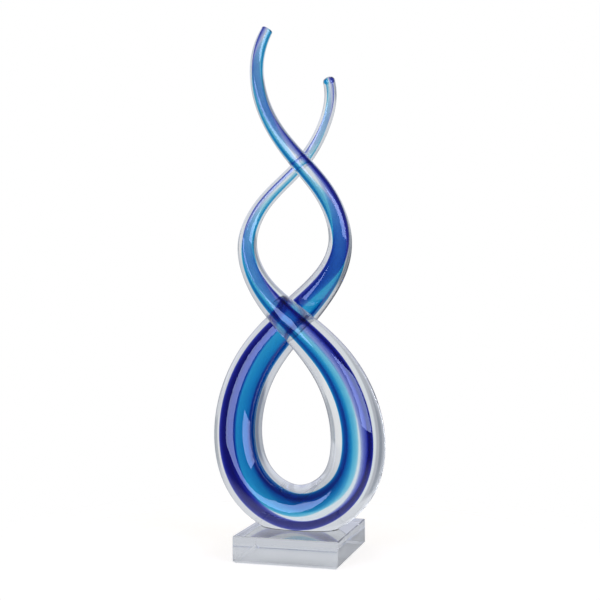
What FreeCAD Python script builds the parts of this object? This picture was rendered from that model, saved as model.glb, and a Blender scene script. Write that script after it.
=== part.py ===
import FreeCAD, Part
import math
import os

os.makedirs("parts", exist_ok=True)

# A glass award: one hot-worked rod with two colours inside, bent into a loop, its tapering
# arms twisted round each other twice, bonded by a ground flat to a clear crystal block.
# Millimetres. The origin is the middle of the block's underside, X runs along the front,
# Y away from the viewer and Z up.

# ---------------------------------------------------------------------------------------
# Driving sizes
# ---------------------------------------------------------------------------------------

# Crystal block
base_width = 80.0          # along X
base_depth = 90.0          # along Y
base_height = 20.0
base_foot_bevel = 1.8      # round the underside, where the block would chip first
base_edge_bevel = 0.7      # every other edge

# Seat of the glass figure on the block
bond_thickness = 0.3       # film of clear adhesive
ground_depth = 8.0         # glass ground off the underside of the loop

# Free glass between the two arms where they cross
lower_crossing_gap = 0.5
upper_crossing_gap = 4.0

# Inside the rod
colour_share = 0.34        # thickest place of a colour layer, as a share of the core's radius
left_rim = 1.2             # fire-polished rim of the left tip, measured across the cut
right_rim = 2.6            # the right tip was melted rounder
rim_stretch = 1.4          # length of a rim along the rod, as a share of its width

# Finest steps of the swept surfaces
casing_turn_per_band = 8.0     # degrees that the rod bends along one band of its casing
colour_turn_per_band = 22.0    # degrees that the colours turn along one band of a colour layer

# Height of the rod's centre line at the left tip, above the underside of the uncut loop,
# and the heights of the other main places as shares of it
figure_height = 392.0
upper_crossing_share = 0.7296
eye_share = 0.5765         # where the arms stand furthest apart between the crossings
lower_crossing_share = 0.4230
loop_side_share = 0.1926   # widest place of the loop
loop_heel_share = 0.1020

# Reach of the glass rod's centre line to each side of the block's middle
loop_left = 52.6
loop_right = 45.8
eye_left = 43.3
eye_right = 30.9

# Casing radius at the places that set the taper
loop_bottom_radius = 19.8
loop_side_radius_left = 18.8
loop_side_radius_right = 20.5
lower_crossing_radius_left = 15.2
lower_crossing_radius_right = 13.0
upper_crossing_radius_left = 7.4
upper_crossing_radius_right = 5.4

# ---------------------------------------------------------------------------------------
# Centre line of the rod
# ---------------------------------------------------------------------------------------

seat_height = base_height + bond_thickness
underside_height = seat_height - ground_depth


def half_spacing(radius, other_radius, gap):
    """Half the distance, front to back, between the centre lines of two arms that cross."""
    return (radius + other_radius + gap) / 2


lower_crossing_offset = half_spacing(
    lower_crossing_radius_left, lower_crossing_radius_right, lower_crossing_gap)
upper_crossing_offset = half_spacing(
    upper_crossing_radius_left, upper_crossing_radius_right, upper_crossing_gap)

# Stations from the left tip, down the left arm, round the loop and up the right arm:
# across, depth, height as a share of the figure's, casing radius, core radius, and how far
# the colours have turned about the rod, in degrees (0 puts the cobalt on the loop's outside).
# The left arm passes behind at the lower crossing and in front at the upper one.
stations = [
    (-28.0, 4.0, 1.0, 4.6, 2.4, 5),
    (-35.4, -1.0, 0.9153, 5.5, 2.6, 85),
    (-22.5, -6.0, 0.8105, 6.2, 2.9, 135),
    (1.6, -upper_crossing_offset, upper_crossing_share, upper_crossing_radius_left, 3.6, 180),
    (22.6, -5.0, 0.6587, 8.0, 4.1, 222),
    (eye_right, 0.0, eye_share, 8.9, 4.6, 270),
    (-11.5, lower_crossing_offset, lower_crossing_share, lower_crossing_radius_left, 7.8, 322),
    (-38.5, 11.0, 0.3383, 17.4, 8.9, 330),
    (-loop_left, 5.0, loop_side_share, loop_side_radius_left, 9.7, 333),
    (-40.5, 2.0, loop_heel_share, 19.3, 9.6, 340),
    (-1.7, 0.0, loop_bottom_radius / figure_height, loop_bottom_radius, 8.8, 355),
    (36.0, -2.0, loop_heel_share, 20.6, 8.2, 362),
    (loop_right, -5.0, loop_side_share, loop_side_radius_right, 8.0, 365),
    (25.7, -11.0, 0.3439, 16.7, 6.9, 366),
    (-3.6, -lower_crossing_offset, lower_crossing_share, lower_crossing_radius_right, 5.6, 372),
    (-34.2, -6.0, 0.5054, 9.0, 4.1, 408),
    (-eye_left, 0.0, eye_share, 7.4, 3.4, 450),
    (-33.5, 5.0, 0.6485, 6.1, 2.7, 500),
    (-3.0, upper_crossing_offset, upper_crossing_share, upper_crossing_radius_right, 2.2, 540),
    (18.0, 4.0, 0.8105, 4.8, 1.9, 610),
    (23.3, 0.0, 0.8610, 4.7, 1.85, 680),
    (22.4, -5.0, 0.8929, 4.65, 1.85, 715),
]

places = [FreeCAD.Vector(s[0], s[1], s[2] * figure_height + underside_height) for s in stations]
station_distance = [0.0]
for here, there in zip(places, places[1:]):
    station_distance.append(station_distance[-1] + here.distanceToPoint(there))
rod_length = station_distance[-1]


def smooth_through(points):
    """Curve through one point for each station, with its parameter counted along the rod."""
    curve = Part.BSplineCurve()
    curve.interpolate(Points=points, Parameters=station_distance)
    return curve


centre_line = smooth_through(places)
radii_line = smooth_through([FreeCAD.Vector(s[3], s[4], 0) for s in stations])
turn_line = smooth_through([FreeCAD.Vector(s[5], 0, 0) for s in stations])


def casing_radius(distance):
    return radii_line.value(distance).x


def core_radius(distance):
    return radii_line.value(distance).y


def heart_radius(distance):
    return core_radius(distance) * (1 - colour_share)


def loop_axes(distance):
    """Return the loop's outward way and the front, both square to the rod."""
    along = centre_line.tangent(distance)[0]
    to_front = FreeCAD.Vector(0, -1, 0)
    front = (to_front - along * to_front.dot(along)).normalize()
    return along.cross(front), front


def colour_axes(distance):
    """Return the way that the cobalt faces, and the way square to it and to the rod."""
    outward, front = loop_axes(distance)
    turn = math.radians(turn_line.value(distance).x)
    cobalt = outward * math.cos(turn) + front * math.sin(turn)
    pole = front * math.cos(turn) - outward * math.sin(turn)
    return cobalt, pole


# ---------------------------------------------------------------------------------------
# Skins of the rod
# ---------------------------------------------------------------------------------------
# A skin covers one side of the rod, from pole to pole, in bands. Every band runs straight
# from one cross-section, an exact arc, to the next. Two skins with the same poles make a solid.
# A colour layer lies between its own outer skin and the heart's, and the casing's bore is
# the two colour layers' outer skins, so neighbouring pieces fit face to face.

round_bulge = 1.0                        # a half circle
colour_bulge = 1 / (1 - colour_share)    # a fuller arc, which leaves a crescent outside the heart


def section_distances(axes, turn_per_band):
    """Distances along the rod that share its bending and turning out evenly."""
    step = rod_length / 2000
    turned = [0.0]
    facing, pole = axes(0.0)
    for i in range(1, 2001):
        next_facing, next_pole = axes(i * step)
        turn = max(facing.getAngle(next_facing), pole.getAngle(next_pole))
        turned.append(turned[-1] + math.degrees(turn))
        facing, pole = next_facing, next_pole
    bands = round(turned[-1] / turn_per_band)
    distances = [0.0]
    for i, total in enumerate(turned):
        if total >= turned[-1] * len(distances) / bands and len(distances) < bands:
            distances.append(i * step)
    return distances + [rod_length]


def arc_corners(bulge):
    """Control corners (out, towards the pole) and weights of an arc through the poles at
    plus and minus 1, which stands out to one side by bulge."""
    centre = (bulge**2 - 1) / (2 * bulge)
    radius = (bulge**2 + 1) / (2 * bulge)
    sweep = math.atan2(1, -centre)
    shoulder = radius * math.tan(sweep / 2)
    corners = [(0, 1), (bulge, shoulder), (bulge, 0), (bulge, -shoulder), (0, -1)]
    weight = math.cos(sweep / 2)
    return corners, [1, weight, 1, weight, 1]


def skin(axes, distances, pole_reach, bulge, side):
    """Bands from pole to pole that bulge to one side (1 or -1) of the rod."""
    corners, weights = arc_corners(bulge)
    rows = []
    for distance in distances:
        centre = centre_line.value(distance)
        reach = pole_reach(distance)
        facing, pole = axes(distance)
        rows.append([centre + (facing * (side * out) + pole * up) * reach for out, up in corners])
    bands = []
    for pair in zip(rows, rows[1:]):
        band = Part.BSplineSurface()
        band.buildFromPolesMultsKnots(
            pair, [2, 2], [3, 2, 3], [0, 1], [0, 0.5, 1], False, False, 1, 2, [weights] * 2)
        bands.append(band)
    return bands


def solid_between(first, second):
    """Solid that two skins with the same poles enclose, closed by a flat face at each tip."""
    faces = [band.toShape() for band in first + second]
    for place, end in ((0, 0), (-1, 1)):
        edges = [skin_bands[place].uIso(end).toShape() for skin_bands in (first, second)]
        faces.append(Part.Face(Part.Wire(Part.sortEdges(edges)[0])))
    shell = Part.Shell(faces)
    shell.sewShape()
    return Part.Solid(shell)


casing_sections = section_distances(loop_axes, casing_turn_per_band)
colour_sections = section_distances(colour_axes, colour_turn_per_band)
casing_outside = skin(loop_axes, casing_sections, casing_radius, round_bulge, 1)
casing_inside = skin(loop_axes, casing_sections, casing_radius, round_bulge, -1)
cobalt_outer = skin(colour_axes, colour_sections, heart_radius, colour_bulge, 1)
aqua_outer = skin(colour_axes, colour_sections, heart_radius, colour_bulge, -1)
heart_cobalt_side = skin(colour_axes, colour_sections, heart_radius, round_bulge, 1)
heart_aqua_side = skin(colour_axes, colour_sections, heart_radius, round_bulge, -1)


# ---------------------------------------------------------------------------------------
# Pieces
# ---------------------------------------------------------------------------------------


def make_base():
    """Crystal block with fine bevels, heavier round the underside."""
    corner = FreeCAD.Vector(-base_width / 2, -base_depth / 2, 0)
    block = Part.makeBox(base_width, base_depth, base_height, corner)
    foot_edges = [e for e in block.Edges if e.BoundBox.ZMax < base_height / 2]
    block = block.makeChamfer(base_foot_bevel, foot_edges)
    upper_edges = []
    for edge in block.Edges:
        box = edge.BoundBox
        upright = box.ZLength > base_height / 2
        if upright or box.ZMin > base_height / 2:
            upper_edges.append(edge)
    return block.makeChamfer(base_edge_bevel, upper_edges)


def rim_cutter(distance, way, rim_width):
    """Ring that rounds the rim of a cut end; way is 1 or -1 along the rod, out of the glass."""
    rim_length = rim_stretch * rim_width
    radius = casing_radius(distance)
    inner = radius - rim_width
    outer = radius + rim_width
    halfway = math.sqrt(0.5)
    start = FreeCAD.Vector(inner, 0, 0)
    crown = FreeCAD.Vector(inner + halfway * rim_width, 0, (halfway - 1) * rim_length)
    end = FreeCAD.Vector(radius, 0, -rim_length)
    lower_corner = FreeCAD.Vector(outer, 0, -rim_length)
    upper_corner = FreeCAD.Vector(outer, 0, rim_width)
    inner_corner = FreeCAD.Vector(inner, 0, rim_width)
    round_edge = Part.Arc(start, crown, end).toShape()
    straight_edges = Part.makePolygon([end, lower_corner, upper_corner, inner_corner, start])
    profile = Part.Face(Part.Wire([round_edge] + straight_edges.Edges))
    ring = profile.revolve(FreeCAD.Vector(0, 0, 0), FreeCAD.Vector(0, 0, 1), 360)
    outward = centre_line.tangent(distance)[0] * way
    turn = FreeCAD.Rotation(FreeCAD.Vector(0, 0, 1), outward)
    ring.Placement = FreeCAD.Placement(centre_line.value(distance), turn)
    return ring


def make_rod():
    """Outer form of the casing: the rod with polished rims, ground flat where it sits."""
    rod = solid_between(casing_outside, casing_inside)
    for distance, way, rim_width in ((0.0, -1, left_rim), (rod_length, 1, right_rim)):
        rod = rod.cut(rim_cutter(distance, way, rim_width))
    return rod.cut(below_seat())


def below_seat():
    """Everything that the grinding takes away."""
    span = 2 * (loop_left + loop_side_radius_left)
    corner = FreeCAD.Vector(-span / 2, -span / 2, underside_height - ground_depth)
    return Part.makeBox(span, span, 2 * ground_depth, corner)


def make_bond(casing):
    """Adhesive film, as large as the ground flat, which is the casing's lowest face."""
    flat = min(casing.Faces, key=lambda face: face.BoundBox.ZMax)
    return flat.extrude(FreeCAD.Vector(0, 0, -bond_thickness))


def make_casing():
    """Clear glass round the colours: the rod's outer form with the core taken out."""
    return make_rod().cut(solid_between(cobalt_outer, aqua_outer))


casing = make_casing()
pieces = {
    "crystal_base": make_base(),
    "bond_layer": make_bond(casing),
    "clear_casing": casing,
    "cobalt_layer": solid_between(cobalt_outer, heart_cobalt_side),
    "aqua_layer": solid_between(aqua_outer, heart_aqua_side),
    "heart_core": solid_between(heart_cobalt_side, heart_aqua_side),
}

for name, shape in pieces.items():
    box = shape.BoundBox
    print(name, "solids", len(shape.Solids), "valid", shape.isValid(), "volume", round(shape.Volume))
    print("    from", box.getPoint(0), "to", box.getPoint(6))
    shape.exportStep("parts/" + name + ".step")
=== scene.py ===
# %% [markdown]
# # A twisted glass award on a crystal block
#
# The real award is one gather of hot glass: a clear heart, a cobalt stripe and an aqua
# stripe laid on it, and a thick clear casing over everything. The glassblower draws it
# out, bends it into a loop and winds the two thin arms round each other. When cold, its
# underside is ground flat and bonded to a bevelled crystal block.
#
# This lesson sweeps the four layers of glass along one curve, then lights them as glass
# is lit in a studio: a pale room to look through, and two large softboxes to reflect.

import math

import bmesh
import bpy
import numpy as np
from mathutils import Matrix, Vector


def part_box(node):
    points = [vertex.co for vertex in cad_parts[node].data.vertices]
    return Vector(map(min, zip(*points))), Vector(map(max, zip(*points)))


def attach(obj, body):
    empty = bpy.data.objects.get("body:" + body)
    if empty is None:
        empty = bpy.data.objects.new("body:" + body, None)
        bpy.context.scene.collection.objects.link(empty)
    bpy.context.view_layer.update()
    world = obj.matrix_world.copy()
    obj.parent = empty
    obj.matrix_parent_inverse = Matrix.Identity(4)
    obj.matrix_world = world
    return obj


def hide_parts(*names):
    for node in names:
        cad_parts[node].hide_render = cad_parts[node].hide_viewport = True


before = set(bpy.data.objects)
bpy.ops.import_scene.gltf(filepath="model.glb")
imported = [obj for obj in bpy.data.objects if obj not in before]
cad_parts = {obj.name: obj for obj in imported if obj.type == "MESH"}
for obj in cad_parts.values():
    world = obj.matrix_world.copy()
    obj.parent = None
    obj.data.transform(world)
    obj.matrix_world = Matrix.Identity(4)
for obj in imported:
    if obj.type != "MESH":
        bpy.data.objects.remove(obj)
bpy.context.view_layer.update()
print("nodes in the frame:", sorted(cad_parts))

# %% [markdown]
# ## The path of the rod
#
# A glassblower has no drawing, but we need one: where the middle of the rod is at some
# twenty places, how thick it is there, and which way the colours face. Each row gives
# across, depth and height in millimetres, the radius of the casing, the radius of the
# coloured core, and the turn of the colours in degrees. The rows run from the left tip
# down, round the loop and up to the right tip.
#
# A table of few places is easier to read and change than a long list of points, because
# a smooth curve fills in everything between.

# %% The plan, from the left tip to the right tip
PLAN = np.array([
    (-28.0, 4.0, 392.0, 4.6, 2.4, 5),
    (-35.4, -1.0, 358.8, 5.5, 2.6, 85),
    (-22.5, -6.0, 317.7, 6.2, 2.9, 135),
    (1.6, -8.4, 286.0, 7.4, 3.6, 180),
    (22.6, -5.0, 258.2, 8.0, 4.1, 222),
    (30.9, 0.0, 226.0, 8.9, 4.6, 270),
    (-11.5, 14.35, 165.8, 15.2, 7.8, 322),
    (-38.5, 11.0, 132.6, 17.4, 8.9, 330),
    (-52.6, 5.0, 75.5, 18.8, 9.7, 333),
    (-40.5, 2.0, 40.0, 19.3, 9.6, 340),
    (-1.7, 0.0, 19.8, 19.8, 8.8, 355),
    (36.0, -2.0, 40.0, 20.6, 8.2, 362),
    (45.8, -5.0, 75.5, 20.5, 8.0, 365),
    (25.7, -11.0, 134.8, 16.7, 6.9, 366),
    (-3.6, -14.35, 165.8, 13.0, 5.6, 372),
    (-34.2, -6.0, 198.1, 9.0, 4.1, 408),
    (-43.3, 0.0, 226.0, 7.4, 3.4, 450),
    (-33.5, 5.0, 254.2, 6.1, 2.7, 500),
    (-3.0, 8.4, 286.0, 5.4, 2.2, 540),
    (18.0, 4.0, 317.7, 4.8, 1.9, 610),
    (23.3, 0.0, 337.5, 4.7, 1.85, 680),
    (22.4, -5.0, 350.0, 4.65, 1.85, 715),
])
GROUND_OFF = 8.0      # millimetres of glass that the wheel takes off the underside
COLOUR_SHARE = 0.34   # thickest part of a colour, as a share of the core's radius
print("places in the plan:", len(PLAN))

# %% [markdown]
# ## A smooth curve through the plan
#
# Soft glass bends evenly, so its curve has no kinks. A cubic spline behaves like that: it
# passes through every place, and its slope and its bending run on without a jump. The
# class below solves for the slope at each place once, and then gives the value anywhere
# along the rod. The slopes at both ends come from a cubic through the first and last
# four places.

# %% The spline
class SmoothCurve:
    """Cubic spline through rows of values, one row for each place along the rod."""

    def __init__(self, places, values):
        self.places = places
        self.values = values
        steps = np.diff(places)
        rises = np.diff(values, axis=0) / steps[:, None]
        count = len(places)
        system = np.eye(count)
        target = np.zeros_like(values)
        for i in range(1, count - 1):
            system[i, i - 1] = steps[i]
            system[i, i] = 2 * (steps[i - 1] + steps[i])
            system[i, i + 1] = steps[i - 1]
            target[i] = 3 * (steps[i] * rises[i - 1] + steps[i - 1] * rises[i])
        target[0] = self.end_slope(places[:4], values[:4], places[0])
        target[-1] = self.end_slope(places[-4:], values[-4:], places[-1])
        self.slopes = np.linalg.solve(system, target)

    @staticmethod
    def end_slope(places, values, where):
        """Slope at one of four places of the cubic that passes through all four."""
        powers = np.vander(places - where, 4, increasing=True)
        return np.linalg.solve(powers, values)[1]

    def at(self, where):
        """Values and slopes at an array of places along the rod."""
        i = np.clip(np.searchsorted(self.places, where) - 1, 0, len(self.places) - 2)
        step = (self.places[i + 1] - self.places[i])[:, None]
        share = (where - self.places[i])[:, None] / step
        start, end = self.values[i], self.values[i + 1]
        out, into = self.slopes[i] * step, self.slopes[i + 1] * step
        bend = 2 * (start - end) + out + into
        lean = 3 * (end - start) - 2 * out - into
        value = start + share * (out + share * (lean + share * bend))
        slope = (out + share * (2 * lean + 3 * share * bend)) / step
        return value, slope


gaps = np.linalg.norm(np.diff(PLAN[:, :3], axis=0), axis=1)
stations = np.concatenate([[0.0], np.cumsum(gaps)])
rod = SmoothCurve(stations, PLAN)
ROD_LENGTH = stations[-1]
print("length of the rod:", round(ROD_LENGTH), "mm")

# %% [markdown]
# ## Which way the glass faces
#
# To place a cross-section we need two directions square to the rod. One points to the
# viewer's side, the other out of the loop. The colours have two directions of their own,
# turned about the rod by the last column of the plan: that turn is what makes the stripes
# spiral from the loop up to the tips, just as a real stripe does when the arms are wound.

# %% Directions square to the rod
def lengths(vectors):
    """Length of each row, as a column."""
    return np.linalg.norm(vectors, axis=1, keepdims=True)


def cross_sections(where):
    """Centres, radii and directions of the cross-sections at an array of places."""
    value, slope = rod.at(where)
    along = slope[:, :3] / lengths(slope[:, :3])
    viewer = np.array([0.0, -1.0, 0.0])
    front = viewer - along * (along @ viewer)[:, None]
    front = front / lengths(front)
    outward = np.cross(along, front)
    turn = np.radians(value[:, 5])[:, None]
    return {
        "centre": value[:, :3],
        "casing": value[:, 3:4],
        "core": value[:, 4:5],
        "outward": outward,
        "front": front,
        "cobalt": outward * np.cos(turn) + front * np.sin(turn),
        "pole": front * np.cos(turn) - outward * np.sin(turn),
    }


middle = cross_sections(np.array([ROD_LENGTH / 2]))
print("core radius halfway along:", round(float(middle["core"][0, 0]), 1), "mm")

# %% [markdown]
# ## Fitting the plan to the frame
#
# The frame holds the award as it was constructed, so the lesson takes its places from
# there. The plan's casing is measured, and every point is stretched a very little so that
# it fills the same box, less a hair on each side. The ground flat lands a hair above the
# frame's own seat.

# %% From the plan to the frame
SKIN = 0.00002    # metres by which the drawn glass stays inside the frame's box
MEASURED_RINGS, MEASURED_SIDES = 2000, 64    # how finely the plan's casing is measured

casing_low, casing_high = (np.array(corner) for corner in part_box("clear_casing"))
rough = cross_sections(np.linspace(0, ROD_LENGTH, MEASURED_RINGS))
cloud = np.concatenate([
    rough["centre"] + rough["casing"] * (
        rough["outward"] * math.cos(angle) + rough["front"] * math.sin(angle))
    for angle in np.linspace(0, 2 * math.pi, MEASURED_SIDES, endpoint=False)
])
plan_low, plan_high = cloud.min(axis=0), cloud.max(axis=0)
plan_low[2] = GROUND_OFF
stretch = (casing_high - casing_low - 2 * SKIN) / (plan_high - plan_low)
SEAT = float(casing_low[2])


def to_frame(points):
    """Points of the plan, in millimetres, as places in the frame, in metres."""
    return casing_low + SKIN + (points - plan_low) * stretch


print("stretch from plan to frame:", [round(float(s) * 1000, 4) for s in stretch])

# %% [markdown]
# ## Sweeping a skin
#
# All four layers are made the same way: a closed outline is set at many places along the
# rod and neighbouring outlines are joined by four-sided faces, with a face over each end.
# Building the faces ourselves, rather than bevelling a curve, lets the outline change its
# size, its shape and its turn from place to place.

# %% A skin from rows of points
SHARP_EDGE = math.radians(40)    # edges that bend more than this are drawn crisp


def skin(name, rings):
    """Closed mesh through rings of points; the first and last ring are covered over."""
    ring_count, ring_size = rings.shape[:2]
    mesh = bpy.data.meshes.new(name)
    made = bmesh.new()
    points = to_frame(rings.reshape(-1, 3))
    corners = [made.verts.new(point) for point in points]
    rows = [corners[i * ring_size:(i + 1) * ring_size] for i in range(ring_count)]
    for row, following in zip(rows, rows[1:]):
        for i in range(ring_size):
            j = (i + 1) % ring_size
            made.faces.new((row[i], row[j], following[j], following[i]))
    made.faces.new(rows[0][::-1])
    made.faces.new(rows[-1])
    bmesh.ops.recalc_face_normals(made, faces=made.faces)
    for face in made.faces:
        face.smooth = True
    made.to_mesh(mesh)
    made.free()
    mesh.set_sharp_from_angle(angle=SHARP_EDGE)
    piece = bpy.data.objects.new(name, mesh)
    bpy.context.scene.collection.objects.link(piece)
    return piece


def outline_rings(where, sides, outlines, radii):
    """Rings from outlines whose points are given towards the first and the second side."""
    at = cross_sections(where)
    first, second = at[sides[0]][:, None, :], at[sides[1]][:, None, :]
    across = outlines[:, :, 0:1] * first + outlines[:, :, 1:2] * second
    return at["centre"][:, None, :] + across * radii[:, :, None]


print("edges are crisp past", round(math.degrees(SHARP_EDGE)), "degrees")

# %% [markdown]
# ## The clear casing
#
# The casing is the thick outer glass, and its whole outside is one skin. Each tip is cut
# with diamond shears and fire polished, which melts the sharp rim round and leaves the cut
# a little domed. So the skin starts in the middle of the cut, opens outwards ring by ring,
# turns over the rim and then runs down the arm.

# %% Casing with polished tips
CASING_SIDES = 72
CASING_STEP = 1.5     # millimetres from ring to ring
LEFT_RIM = (1.1, 1.5, 0.25)     # width of the rounded rim, its length, dome of the cut
RIGHT_RIM = (2.6, 3.6, 0.5)     # the same for the right tip, which melted rounder
FLAT_SHARES = (0.12, 0.35, 0.6, 0.85)    # where rings lie on the cut, from its middle
RIM_STEPS = 9


def tip_rings(radius, rim):
    """Distances below the cut, and radii, from the middle of the cut to past its rim."""
    width, length, dome = rim
    flat = radius - width
    below, radii = [], []
    for share in FLAT_SHARES:
        below.append(dome * share**2)
        radii.append(flat * share)
    for angle in np.linspace(0, math.pi / 2, RIM_STEPS):
        below.append(dome + (length - dome) * (1 - math.cos(angle)))
        radii.append(flat + width * math.sin(angle))
    return np.array(below), np.array(radii)


left_below, left_radii = tip_rings(PLAN[0, 3], LEFT_RIM)
right_below, right_radii = tip_rings(PLAN[-1, 3], RIGHT_RIM)
ring_count = round((ROD_LENGTH - left_below[-1] - right_below[-1]) / CASING_STEP)
body = np.linspace(left_below[-1], ROD_LENGTH - right_below[-1], ring_count)[1:-1]
where = np.concatenate([left_below, body, (ROD_LENGTH - right_below)[::-1]])
radii = cross_sections(where)["casing"]
radii[:len(left_radii), 0] = left_radii
radii[-len(right_radii):, 0] = right_radii[::-1]
angles = np.linspace(0, 2 * math.pi, CASING_SIDES, endpoint=False)
circle = np.stack([np.cos(angles), np.sin(angles)], axis=1)[None]
casing = skin("casing", outline_rings(where, ("outward", "front"), circle, radii))
print("casing faces:", len(casing.data.polygons))

# %% [markdown]
# ## Grinding the seat
#
# A flat is ground on the underside of the loop so that it can be bonded. Cutting the mesh
# with a plane does the same work as the wheel, and one new face closes the cut. Its edge
# is kept sharp, because a ground edge is crisp beside the soft, fire-polished skin.

# %% Grind the underside flat
ground = bmesh.new()
ground.from_mesh(casing.data)
cut = bmesh.ops.bisect_plane(
    ground, geom=ground.verts[:] + ground.edges[:] + ground.faces[:],
    plane_co=(0, 0, SEAT + SKIN), plane_no=(0, 0, 1), clear_inner=True)
rim = [edge for edge in cut["geom_cut"] if isinstance(edge, bmesh.types.BMEdge)]
bmesh.ops.contextual_create(ground, geom=rim)
for edge in rim:
    edge.smooth = False
bmesh.ops.recalc_face_normals(ground, faces=ground.faces)
ground.to_mesh(casing.data)
ground.free()
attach(casing, "root")
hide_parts("clear_casing")
print("edges round the ground flat:", len(rim))

# %% [markdown]
# ## How the colours spread along the rod
#
# The heart is a clear rod. Each colour lies on one side of it like a crescent, thick in
# the middle and running out at its edges, and cobalt and aqua face away from each other.
# Where they don't reach far round the rod, the clear heart shows between them as a pale
# gap. Near the tips they almost close over it, so the arms look blue all across.
#
# Hot glass spreads unevenly as it is drawn out and bent. So a second table says how far
# each colour reaches, how thick it is, how deep it sinks into the heart and how wide the
# three are together. Its numbers are averaged over neighbouring rings, because a kink in
# them would show as a lump in the glass.

# %% The spread of the colours
LAYER_STEP = 1.5     # millimetres from ring to ring
BELOW_LEFT_CUT, BELOW_RIGHT_CUT = 0.6, 0.9    # millimetres by which the layers stop short
layer_count = round(ROD_LENGTH / LAYER_STEP)
layer_where = np.linspace(BELOW_LEFT_CUT, ROD_LENGTH - BELOW_RIGHT_CUT, layer_count)

# Share of the rod's length; how far cobalt and aqua reach round the heart to each side, in
# degrees; how thick each is, as a share of the plan's; how deep each sinks into the heart;
# how much wider than the plan's core the three together are drawn
SPREAD = np.array([
    (0.0, 86, 86, 0.7, 0.9, 0.0, 1.25),
    (0.06, 84, 84, 0.65, 0.8, 0.0, 1.3),
    (0.1, 68, 72, 0.9, 0.8, 0.0, 1.3),
    (0.15, 62, 68, 0.9, 0.8, 0.0, 1.26),
    (0.19, 76, 80, 0.9, 0.9, 0.0, 1.2),
    (0.225, 82, 84, 0.9, 0.9, 0.0, 1.14),
    (0.24, 60, 96, 0.9, 1.0, 0.0, 1.1),
    (0.26, 36, 108, 0.9, 1.0, 0.0, 1.08),
    (0.3, 32, 108, 1.0, 1.0, 0.05, 1.03),
    (0.36, 37, 90, 1.3, 1.0, 0.15, 1.0),
    (0.45, 35, 94, 1.35, 1.0, 0.2, 1.0),
    (0.49, 28, 106, 1.3, 1.0, 0.15, 1.0),
    (0.52, 27, 114, 1.3, 1.0, 0.1, 1.0),
    (0.57, 42, 98, 1.1, 1.0, 0.0, 1.0),
    (0.61, 60, 74, 1.0, 1.0, 0.0, 1.0),
    (0.65, 68, 77, 1.0, 1.0, 0.0, 1.0),
    (0.7, 76, 82, 1.0, 1.0, 0.0, 1.0),
    (0.77, 82, 86, 0.7, 0.9, 0.0, 1.05),
    (0.83, 84, 86, 0.55, 0.9, 0.0, 1.14),
    (0.88, 80, 82, 0.5, 0.7, 0.0, 1.22),
    (0.92, 78, 78, 0.45, 0.55, 0.0, 1.3),
    (1.0, 80, 80, 0.5, 0.5, 0.0, 1.25),
])
EASE = 21            # rings over which the numbers are averaged, an odd count
CLOSED_RINGS = 3     # rings at the right tip where the colours close over the heart
CLOSED_REACH, CLOSED_THICK = 88, 1.7    # their reach and thickness in those rings


def eased(column):
    """One column of the table for every ring, averaged over neighbouring rings."""
    values = np.interp(layer_where / ROD_LENGTH, SPREAD[:, 0], SPREAD[:, column])
    padded = np.pad(values, EASE // 2, mode="edge")
    return np.convolve(padded, np.ones(EASE) / EASE, mode="valid")[:, None]


cobalt_reach, aqua_reach, cobalt_thick, aqua_thick, sink, width = (
    eased(column) for column in range(1, 7))
cobalt_reach[-CLOSED_RINGS:] = aqua_reach[-CLOSED_RINGS:] = CLOSED_REACH
cobalt_thick[-CLOSED_RINGS:] = aqua_thick[-CLOSED_RINGS:] = CLOSED_THICK
print("rings along each layer:", layer_count)

# %% [markdown]
# ## Outlines of the layers
#
# A crescent swells from the heart's circle by a power curve: full in the middle and thin
# at the edge, which is the shape of a stripe that was laid on as a trail and melted in.
# Where a colour sinks into the heart, the heart is hollowed by the same curve, and one
# function gives both.
#
# The layers stop just below the cut of each tip, and the heart stays a hair clear of the
# colours, so that no two skins lie in one place: a ray of light can then tell when it
# enters a layer and when it leaves.

# %% Outlines of the layers
HALF_STEPS = 24      # steps from a crescent's middle to its edge
HAIR = 0.004         # share of the radius by which the heart stays clear of the colours
COBALT_POWER, AQUA_POWER = 0.8, 0.6    # a smaller power makes a fuller crescent
BULGE = 1 / (1 - COLOUR_SHARE) - 1     # thickest part of a colour, in radii of the heart
heart_radii = cross_sections(layer_where)["core"] * (1 - COLOUR_SHARE) * width


def bulge_at(angles, reach, power):
    """How full a colour is at angles from its middle: 1 there, 0 beyond its reach."""
    return np.clip(1 - (angles / np.radians(reach))**2, 0, 1) ** power


def on_circle(angles, radii):
    """Points round a circle, from an angle and a radius for each."""
    return np.stack([np.cos(angles), np.sin(angles)], axis=2) * radii[:, :, None]


def crescents(reach, thick, power):
    """Outlines of one colour for every ring, centred on the direction it faces."""
    angles = np.linspace(-1, 1, HALF_STEPS + 1)[None] * np.radians(reach)
    full = bulge_at(angles, reach, power)
    outer = on_circle(angles, 1 + BULGE * thick * full)
    inner = on_circle(angles, 1 - sink * full)[:, -2:0:-1]
    return np.concatenate([outer, inner], axis=1)


turned = np.linspace(-math.pi, math.pi, 4 * HALF_STEPS, endpoint=False)[None]
opposite = (turned % (2 * math.pi)) - math.pi    # the same angles, from aqua's middle
hollow = (sink * bulge_at(turned, cobalt_reach, COBALT_POWER)
          + sink * bulge_at(opposite, aqua_reach, AQUA_POWER))
outlines = {
    "cobalt": crescents(cobalt_reach, cobalt_thick, COBALT_POWER),
    "aqua": crescents(aqua_reach, aqua_thick, AQUA_POWER) * (-1, 1),
    "heart": on_circle(np.repeat(turned, layer_count, axis=0), 1 - hollow - HAIR),
}
print("points round a crescent:", outlines["cobalt"].shape[1])

# %% [markdown]
# ## Setting the layers in the casing
#
# Each layer takes the place of its part in the frame, and all ride on one body, since
# fused glass moves as one. An outline's first direction is the way cobalt faces. That
# direction turns along the rod, so the stripes wind round it by themselves.

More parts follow.
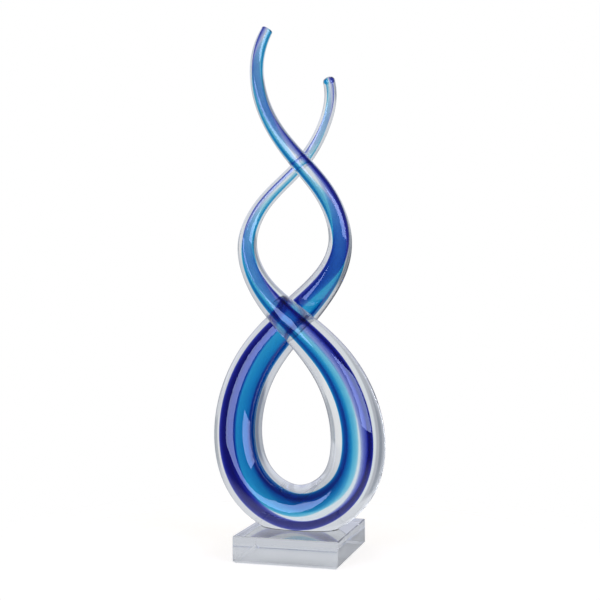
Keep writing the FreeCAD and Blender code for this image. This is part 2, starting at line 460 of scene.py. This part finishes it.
# %% Cobalt, aqua and heart
layers = {}
for name, node, slot in (
    ("cobalt", "cobalt_layer", "cobalt_glass"),
    ("aqua", "aqua_layer", "aqua_glass"),
    ("heart", "heart_core", "heart_glass"),
):
    rings = outline_rings(layer_where, ("cobalt", "pole"), outlines[name], heart_radii)
    layers[name] = skin(name, rings)
    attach(layers[name], "root")
    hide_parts(node)
    print(name, "faces:", len(layers[name].data.polygons))

# %% [markdown]
# ## Writing materials as arithmetic
#
# A material is a graph of nodes, and long chains of them are hard to read as code. The
# small class below wraps one output socket, so that `noise * 0.2 + 0.5` adds the Math
# nodes for us. Colours and vectors go through Mix and Vector Math nodes instead, and any
# other node comes from one method, `node`.

# %% Sockets with arithmetic
class Socket:
    """One output socket of a node tree, with arithmetic that adds nodes."""

    def __init__(self, tree, output=None):
        self.tree = tree
        self.output = output

    def feed(self, target, value):
        """Link a socket into a target, or write a plain value on it."""
        if isinstance(value, Socket):
            self.tree.links.new(value.output, target)
        else:
            target.default_value = value

    def node(self, kind, settings=None, inputs=None, output=0):
        """Any node: its type, settings (set first), socket values or links."""
        made = self.tree.nodes.new(kind)
        for name, value in (settings or {}).items():
            setattr(made, name, value)
        for name, value in (inputs or {}).items():
            self.feed(made.inputs[name], value)
        return Socket(self.tree, made.outputs[output] if len(made.outputs) else None)

    def math(self, operation, *terms):
        """Math node on sockets and numbers."""
        return self.node("ShaderNodeMath", {"operation": operation}, dict(enumerate(terms)))

    def __add__(self, other):
        return self.math("ADD", self, other)

    def __radd__(self, other):
        return self.math("ADD", other, self)

    def __sub__(self, other):
        return self.math("SUBTRACT", self, other)

    def __rsub__(self, other):
        return self.math("SUBTRACT", other, self)

    def __mul__(self, other):
        return self.math("MULTIPLY", self, other)

    def __rmul__(self, other):
        return self.math("MULTIPLY", other, self)

    def over(self, low, high):
        """0 below low, 1 above high, and smooth between."""
        return self.node(
            "ShaderNodeMapRange", {"interpolation_type": "SMOOTHSTEP"},
            {"Value": self, "From Min": low, "From Max": high})

    def mix(self, start, end):
        """Colour that goes from start to end as this socket goes from 0 to 1."""
        return self.node(
            "ShaderNodeMix", {"data_type": "RGBA"}, {0: self, 6: start, 7: end}, output=2)

    def blend(self, first, second):
        """Shader that goes from first to second as this socket goes from 0 to 1."""
        return self.node("ShaderNodeMixShader", inputs={0: self, 1: first, 2: second})


print("sockets take + - * and have over, mix and blend")

# %% [markdown]
# ## Helpers for materials
#
# Every material starts as an empty graph and ends at an output node, and most carry a
# smooth random pattern that is fixed to the piece. Three short functions do this, so that
# each cell below says only what is special about its own glass.

# %% Helpers for materials
def new_material(name):
    """Empty material and the start of its graph."""
    material = bpy.data.materials.new(name)
    material.use_nodes = True
    material.node_tree.nodes.clear()
    return material, Socket(material.node_tree)


def finish_material(graph, surface, volume=None):
    """Join the finished surface, and any volume, to the material's output."""
    made = {"Surface": surface}
    if volume is not None:
        made["Volume"] = volume
    graph.node("ShaderNodeOutputMaterial", inputs=made)


def noise(graph, scale, detail=2.0, roughness=0.5, distortion=0.0):
    """Smooth random pattern, 0 to 1, fixed to the piece."""
    place = graph.node("ShaderNodeTexCoord", output="Object")
    return graph.node("ShaderNodeTexNoise", inputs={
        "Vector": place, "Scale": scale, "Detail": detail, "Roughness": roughness,
        "Distortion": distortion})


print("helpers:", [helper.__name__ for helper in (new_material, finish_material, noise)])

# %% [markdown]
# ## Clear casing glass
#
# Clear glass shows almost nothing of itself: it bends what lies behind it, reflects a
# little more at grazing angles, and looks grey where the view passes along its edge. The
# shader is therefore all transmission with an index of refraction of 1.5. Two noises tilt
# its surface by a hair, as hand-worked glass is never quite even.
#
# Fire polishing leaves a bright skin. A clear coat stands for it and keeps the pictures
# of the lamps crisp. Where the view runs along the edge a greyer glass takes over. That
# grey is painted shade, for the dark rims that glass gets by bending the dim room in.

# %% Casing material
GLASS_IOR = 1.5
EDGE_STARTS, EDGE_FULL = 0.84, 0.99    # from 0, facing the viewer, to 1, edge on


def fire_polished(graph, tint, roughness, surface):
    """Clear glass under a bright skin."""
    return graph.node("ShaderNodeBsdfPrincipled", inputs={
        "Base Color": tint, "Roughness": roughness, "Transmission Weight": 1.0,
        "IOR": GLASS_IOR, "Coat Weight": 1.0, "Coat Roughness": 0.01,
        "Coat IOR": GLASS_IOR, "Normal": surface})


casing_material, graph = new_material("casing_glass")
slow = noise(graph, 22.0, detail=1.0)
fine = noise(graph, 90.0, detail=2.0, distortion=0.6)
wave = graph.node("ShaderNodeBump", inputs={
    "Strength": 0.006, "Distance": 0.002, "Height": slow * 0.97 + fine * 0.03})
tint = noise(graph, 14.0).mix((0.965, 0.98, 0.985, 1.0), (0.99, 0.995, 1.0, 1.0))
clear = fire_polished(graph, tint, fine * 0.01, wave)
# Painted shade: a grey glass that darkens the rims wherever the view runs edge on
painted_edge_shade = fire_polished(graph, (0.4, 0.43, 0.47, 1.0), 0.02, wave)
facing = graph.node("ShaderNodeLayerWeight", inputs={"Blend": 0.5}, output="Facing")
finish_material(graph, facing.over(EDGE_STARTS, EDGE_FULL).blend(clear, painted_edge_shade))
casing.data.materials.append(casing_material)
print("casing material nodes:", len(casing_material.node_tree.nodes))

# %% [markdown]
# ## Coloured glass
#
# Inside the casing the colours touch glass, not air, so light isn't bent at their skin:
# their index is 1. What gives them their look is thickness. Volume Absorption takes away
# light with every millimetre, so a crescent is deep where the view runs along it and pale
# where it runs out. That also makes the thin arms lighter than the loop, as on the award.

# %% Colour materials
WHITE = (1.0, 1.0, 1.0, 1.0)


def coloured_glass(name, depth_colour, density, streak_colour):
    """Glass coloured by the light that it absorbs, with faint streaks along the stripe."""
    material, graph = new_material(name)
    streaks = noise(graph, 60.0, detail=3.0, roughness=0.6, distortion=1.2)
    skin_tint = streaks.over(0.35, 0.75).mix(WHITE, streak_colour)
    surface = graph.node("ShaderNodeBsdfPrincipled", inputs={
        "Base Color": skin_tint, "Roughness": 0.0, "Transmission Weight": 1.0, "IOR": 1.0})
    volume = graph.node("ShaderNodeVolumeAbsorption", inputs={
        "Color": depth_colour, "Density": density})
    finish_material(graph, surface, volume)
    return material


for name, depth_colour, density, streak_colour in (
    ("cobalt", (0.05, 0.15, 0.75, 1.0), 1000.0, (0.9, 0.9, 0.97, 1.0)),
    ("aqua", (0.0, 0.73, 0.9, 1.0), 1200.0, (0.9, 0.96, 0.98, 1.0)),
    ("heart", (0.5, 0.8, 1.0, 1.0), 8.0, (0.97, 0.98, 1.0, 1.0)),
):
    material = coloured_glass(f"{name}_glass", depth_colour, density, streak_colour)
    layers[name].data.materials.append(material)
    print(name, "has", material.name)

# %% [markdown]
# ## The crystal block and its adhesive
#
# The block is optical crystal, cast, sawn and polished, so its faces are truly flat and
# its finish has only the faintest trace of the polishing felt. Its underside and the bevel
# round it are drawn satin, as ground glass is, because a polished bevel there would show as
# a dark line through the front face. The adhesive is a film of clear resin a third of a
# millimetre thick. Both keep the frame's own meshes, since their flat faces and bevels are
# exact there.

# %% Block and film
SATIN_TOP, POLISH_FROM = 0.0016, 0.0022    # heights in metres on the block

block_material, graph = new_material("base_crystal")
felt = noise(graph, 240.0, detail=4.0, roughness=0.7)
cloud_tint = noise(graph, 9.0).mix((0.945, 0.955, 0.975, 1.0), (0.97, 0.975, 0.985, 1.0))
polish = graph.node("ShaderNodeBump", inputs={
    "Strength": 0.02, "Distance": 0.0005, "Height": felt})
height = graph.node("ShaderNodeSeparateXYZ", inputs={
    "Vector": graph.node("ShaderNodeTexCoord", output="Object")}, output="Z")
satin = 1.0 - height.over(SATIN_TOP, POLISH_FROM)
block_glass = graph.node("ShaderNodeBsdfPrincipled", inputs={
    "Base Color": cloud_tint, "Roughness": felt * 0.02 + satin * 0.32,
    "Transmission Weight": 1.0, "IOR": 1.52, "Normal": polish})
finish_material(graph, block_glass)

film_material, graph = new_material("clear_adhesive")
film_tint = noise(graph, 120.0, detail=3.0).mix(
    (0.9, 0.92, 0.93, 1.0), (0.98, 0.985, 0.985, 1.0))
film = graph.node("ShaderNodeBsdfPrincipled", inputs={
    "Base Color": film_tint, "Roughness": 0.05, "Transmission Weight": 1.0, "IOR": 1.48})
finish_material(graph, film)

for node_name, material, slot in (
    ("crystal_base", block_material, "base_crystal"),
    ("bond_layer", film_material, "clear_adhesive"),
):
    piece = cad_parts[node_name]
    piece.data.materials.clear()
    piece.data.materials.append(material)
    print(node_name, "has", material.name)

# %% [markdown]
# ## The table
#
# The award stands on a white sweep. It takes the soft shadow of the block, and a little
# light of its own for the camera carries it into the white room behind without a line.
# A few centimetres out from the block it begins to fade into clear air.
#
# Clear glass is drawn by what it shows of the table. So rays that come through the glass
# find one plain pale tone, and rays that glance off it a dimmer one. That keeps the block
# even and the underside of the loop dark enough to show its form.

# %% Table
TABLE_HALF = 0.5                   # metres
TABLE_GAP = 0.0002                 # metres below the block, so that no two faces coincide
FADE_STARTS, FADE_ENDS = 0.1, 0.3  # metres from the middle


def ray_is(graph, kind):
    """1 for rays of this kind, such as Camera or Glossy, and 0 for all others."""
    return graph.node("ShaderNodeLightPath", output=f"Is {kind} Ray")


block_low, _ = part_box("crystal_base")
table_mesh = bpy.data.meshes.new("table")
made = bmesh.new()
bmesh.ops.create_grid(made, x_segments=12, y_segments=12, size=TABLE_HALF)
made.to_mesh(table_mesh)
made.free()
table = bpy.data.objects.new("table", table_mesh)
table.location.z = block_low.z - TABLE_GAP
bpy.context.scene.collection.objects.link(table)

table_material, graph = new_material("white_sweep")
paper = noise(graph, 40.0, detail=3.0).mix((0.67, 0.63, 0.57, 1.0), (0.7, 0.66, 0.6, 1.0))
matte = graph.node("ShaderNodeBsdfDiffuse", inputs={"Color": paper})
glow = graph.node("ShaderNodeEmission", inputs={
    "Color": (1.0, 0.98, 0.94, 1.0), "Strength": 0.7})
lit = graph.node("ShaderNodeAddShader", inputs={0: matte, 1: glow})
plain = graph.node("ShaderNodeEmission", inputs={"Color": (0.88, 0.9, 0.94, 1.0)})
dim = graph.node("ShaderNodeEmission", inputs={"Color": (0.58, 0.6, 0.64, 1.0)})
near = ray_is(graph, "Camera").blend(matte, lit)
near = ray_is(graph, "Transmission").blend(near, plain)
near = ray_is(graph, "Glossy").blend(near, dim)
place = graph.node("ShaderNodeTexCoord", output="Object")
away = graph.node(
    "ShaderNodeVectorMath", {"operation": "LENGTH"}, {0: place}, output="Value")
open_air = graph.node("ShaderNodeBsdfTransparent")
finish_material(graph, away.over(FADE_STARTS, FADE_ENDS).blend(near, open_air))
table.data.materials.append(table_material)
print("table half width in metres:", TABLE_HALF)

# %% [markdown]
# ## Camera
#
# A level camera a little to the right of the front, about twice as far off as the award
# is tall, keeps the arms upright. It is a little below the middle of the award, and still
# high enough to show the top of the block.

# %% Camera
EYE_HEIGHT = 0.1935             # metres above the table
AWAY = 0.850                    # metres from the upright through the block's middle
AZIMUTH = math.radians(15.8)    # to the right of the front
camera_data = bpy.data.cameras.new("camera")
camera_data.lens = 66.7
camera_data.sensor_width = 36.0
camera_data.shift_x = -0.002
camera = bpy.data.objects.new("camera", camera_data)
camera.location = (AWAY * math.sin(AZIMUTH), -AWAY * math.cos(AZIMUTH), EYE_HEIGHT)
camera.rotation_euler = (math.pi / 2, 0.0, AZIMUTH)
bpy.context.scene.collection.objects.link(camera)
bpy.context.scene.camera = camera
print("camera at", [round(value, 3) for value in camera.location])

# %% [markdown]
# ## Softboxes
#
# Glass has no colour of its own to light: what we see on it are pictures of the lamps.
# Two large softboxes, one on each side of the camera, draw the long pale bands down both
# sides of the loop. They are bluish, which gives the bands their lavender tone on cobalt.
# The camera and the rays that pass through glass don't see them, so they show only as
# reflections.

# %% Softboxes
LAMP_BRIGHTNESS = 4.2    # for each square metre, so that a larger box isn't dimmer
LAMP_COLOUR = (0.45, 0.56, 1.0)


def softbox(name, azimuth, away, height, width, tall):
    """Area lamp that faces the award: azimuth in degrees from the camera, sizes in metres."""
    light = bpy.data.lights.new(name, "AREA")
    light.shape = "RECTANGLE"
    light.size = width
    light.size_y = tall
    light.color = LAMP_COLOUR
    light.energy = LAMP_BRIGHTNESS * math.pi * width * tall
    lamp = bpy.data.objects.new(name, light)
    angle = AZIMUTH + math.radians(azimuth)
    lamp.location = (away * math.sin(angle), -away * math.cos(angle), height)
    lamp.rotation_euler = (math.pi / 2, 0.0, angle)
    lamp.visible_camera = False
    lamp.visible_transmission = False
    bpy.context.scene.collection.objects.link(lamp)
    print(name, "energy in watts:", round(light.energy, 1))


softbox("softbox_left", azimuth=-41.2, away=1.8, height=0.62, width=1.16, tall=1.08)
softbox("softbox_right", azimuth=40.5, away=1.8, height=0.58, width=1.2, tall=1.16)

# %% [markdown]
# ## The white room
#
# What a ray finds outside depends on the ray. The camera sees plain white. Rays that pass
# through glass find a pale room with grey cards at its sides, as a studio sets them up, and
# these draw the grey lines along the edges of clear glass. Reflected rays find a dim
# studio, a little lighter behind the award and pale above the table there, so that the
# softboxes are what shows on the skin.

# %% World
world = bpy.data.worlds.new("room")
world.use_nodes = True
world.node_tree.nodes.clear()
graph = Socket(world.node_tree)
way = graph.node("ShaderNodeTexCoord", output="Generated")    # the ray's own direction
east, north, upward = (
    graph.node("ShaderNodeSeparateXYZ", inputs={"Vector": way}, output=axis)
    for axis in "XYZ")
to_right = east * math.cos(AZIMUTH) + north * math.sin(AZIMUTH)
to_back = north * math.cos(AZIMUTH) - east * math.sin(AZIMUTH)
to_left = to_right * -1.0

# Cards and ceiling: the direction, where each begins and where it is full, and its tone
through = (0.74, 0.79, 0.82, 1.0)
for towards, begins, is_full, tone in (
    (to_right, 0.35, 0.5, (0.82, 0.83, 0.845, 1.0)),
    (to_right, 0.7, 0.76, (0.4, 0.43, 0.46, 1.0)),
    (to_left, 0.42, 0.5, (0.42, 0.44, 0.49, 1.0)),
    (to_left, 0.56, 0.62, (0.24, 0.27, 0.32, 1.0)),
    (to_left, 0.7, 0.8, (0.38, 0.41, 0.46, 1.0)),
    (upward, 0.1, 0.2, (0.68, 0.7, 0.74, 1.0)),
):
    through = towards.over(begins, is_full).mix(through, tone)
near_floor = (upward * -1.0).over(0.16, 0.22) * (1.0 - to_left.over(0.3, 0.42))
through = near_floor.mix(through, (0.72, 0.74, 0.78, 1.0))

behind = to_back.over(0.35, 0.7)
mirrored = behind.mix((0.08, 0.08, 0.11, 1.0), (0.28, 0.3, 0.36, 1.0))
above_table = behind * upward.over(0.1, 0.18)
mirrored = above_table.mix(mirrored, (0.72, 0.75, 0.92, 1.0))

colour = ray_is(graph, "Glossy").mix((0.42, 0.42, 0.42, 1.0), mirrored)
colour = ray_is(graph, "Transmission").mix(colour, through)
colour = ray_is(graph, "Camera").mix(colour, WHITE)
room = graph.node("ShaderNodeBackground", inputs={"Color": colour, "Strength": 1.0})
graph.node("ShaderNodeOutputWorld", inputs={"Surface": room})
bpy.context.scene.world = world
print("world nodes:", len(world.node_tree.nodes))

# %% [markdown]
# ## Ray depth and colour
#
# A view through the twisted arms crosses a dozen skins of glass, so rays need leave to go
# on for longer than usual. The plain Standard transform keeps colours as they are written.

# %% Render settings
scene = bpy.context.scene
scene.view_settings.view_transform = "Standard"
scene.cycles.max_bounces = 32
scene.cycles.transmission_bounces = 32
scene.cycles.transparent_max_bounces = 32
scene.cycles.glossy_bounces = 6
scene.cycles.diffuse_bounces = 3
print("bounces:", scene.cycles.max_bounces)
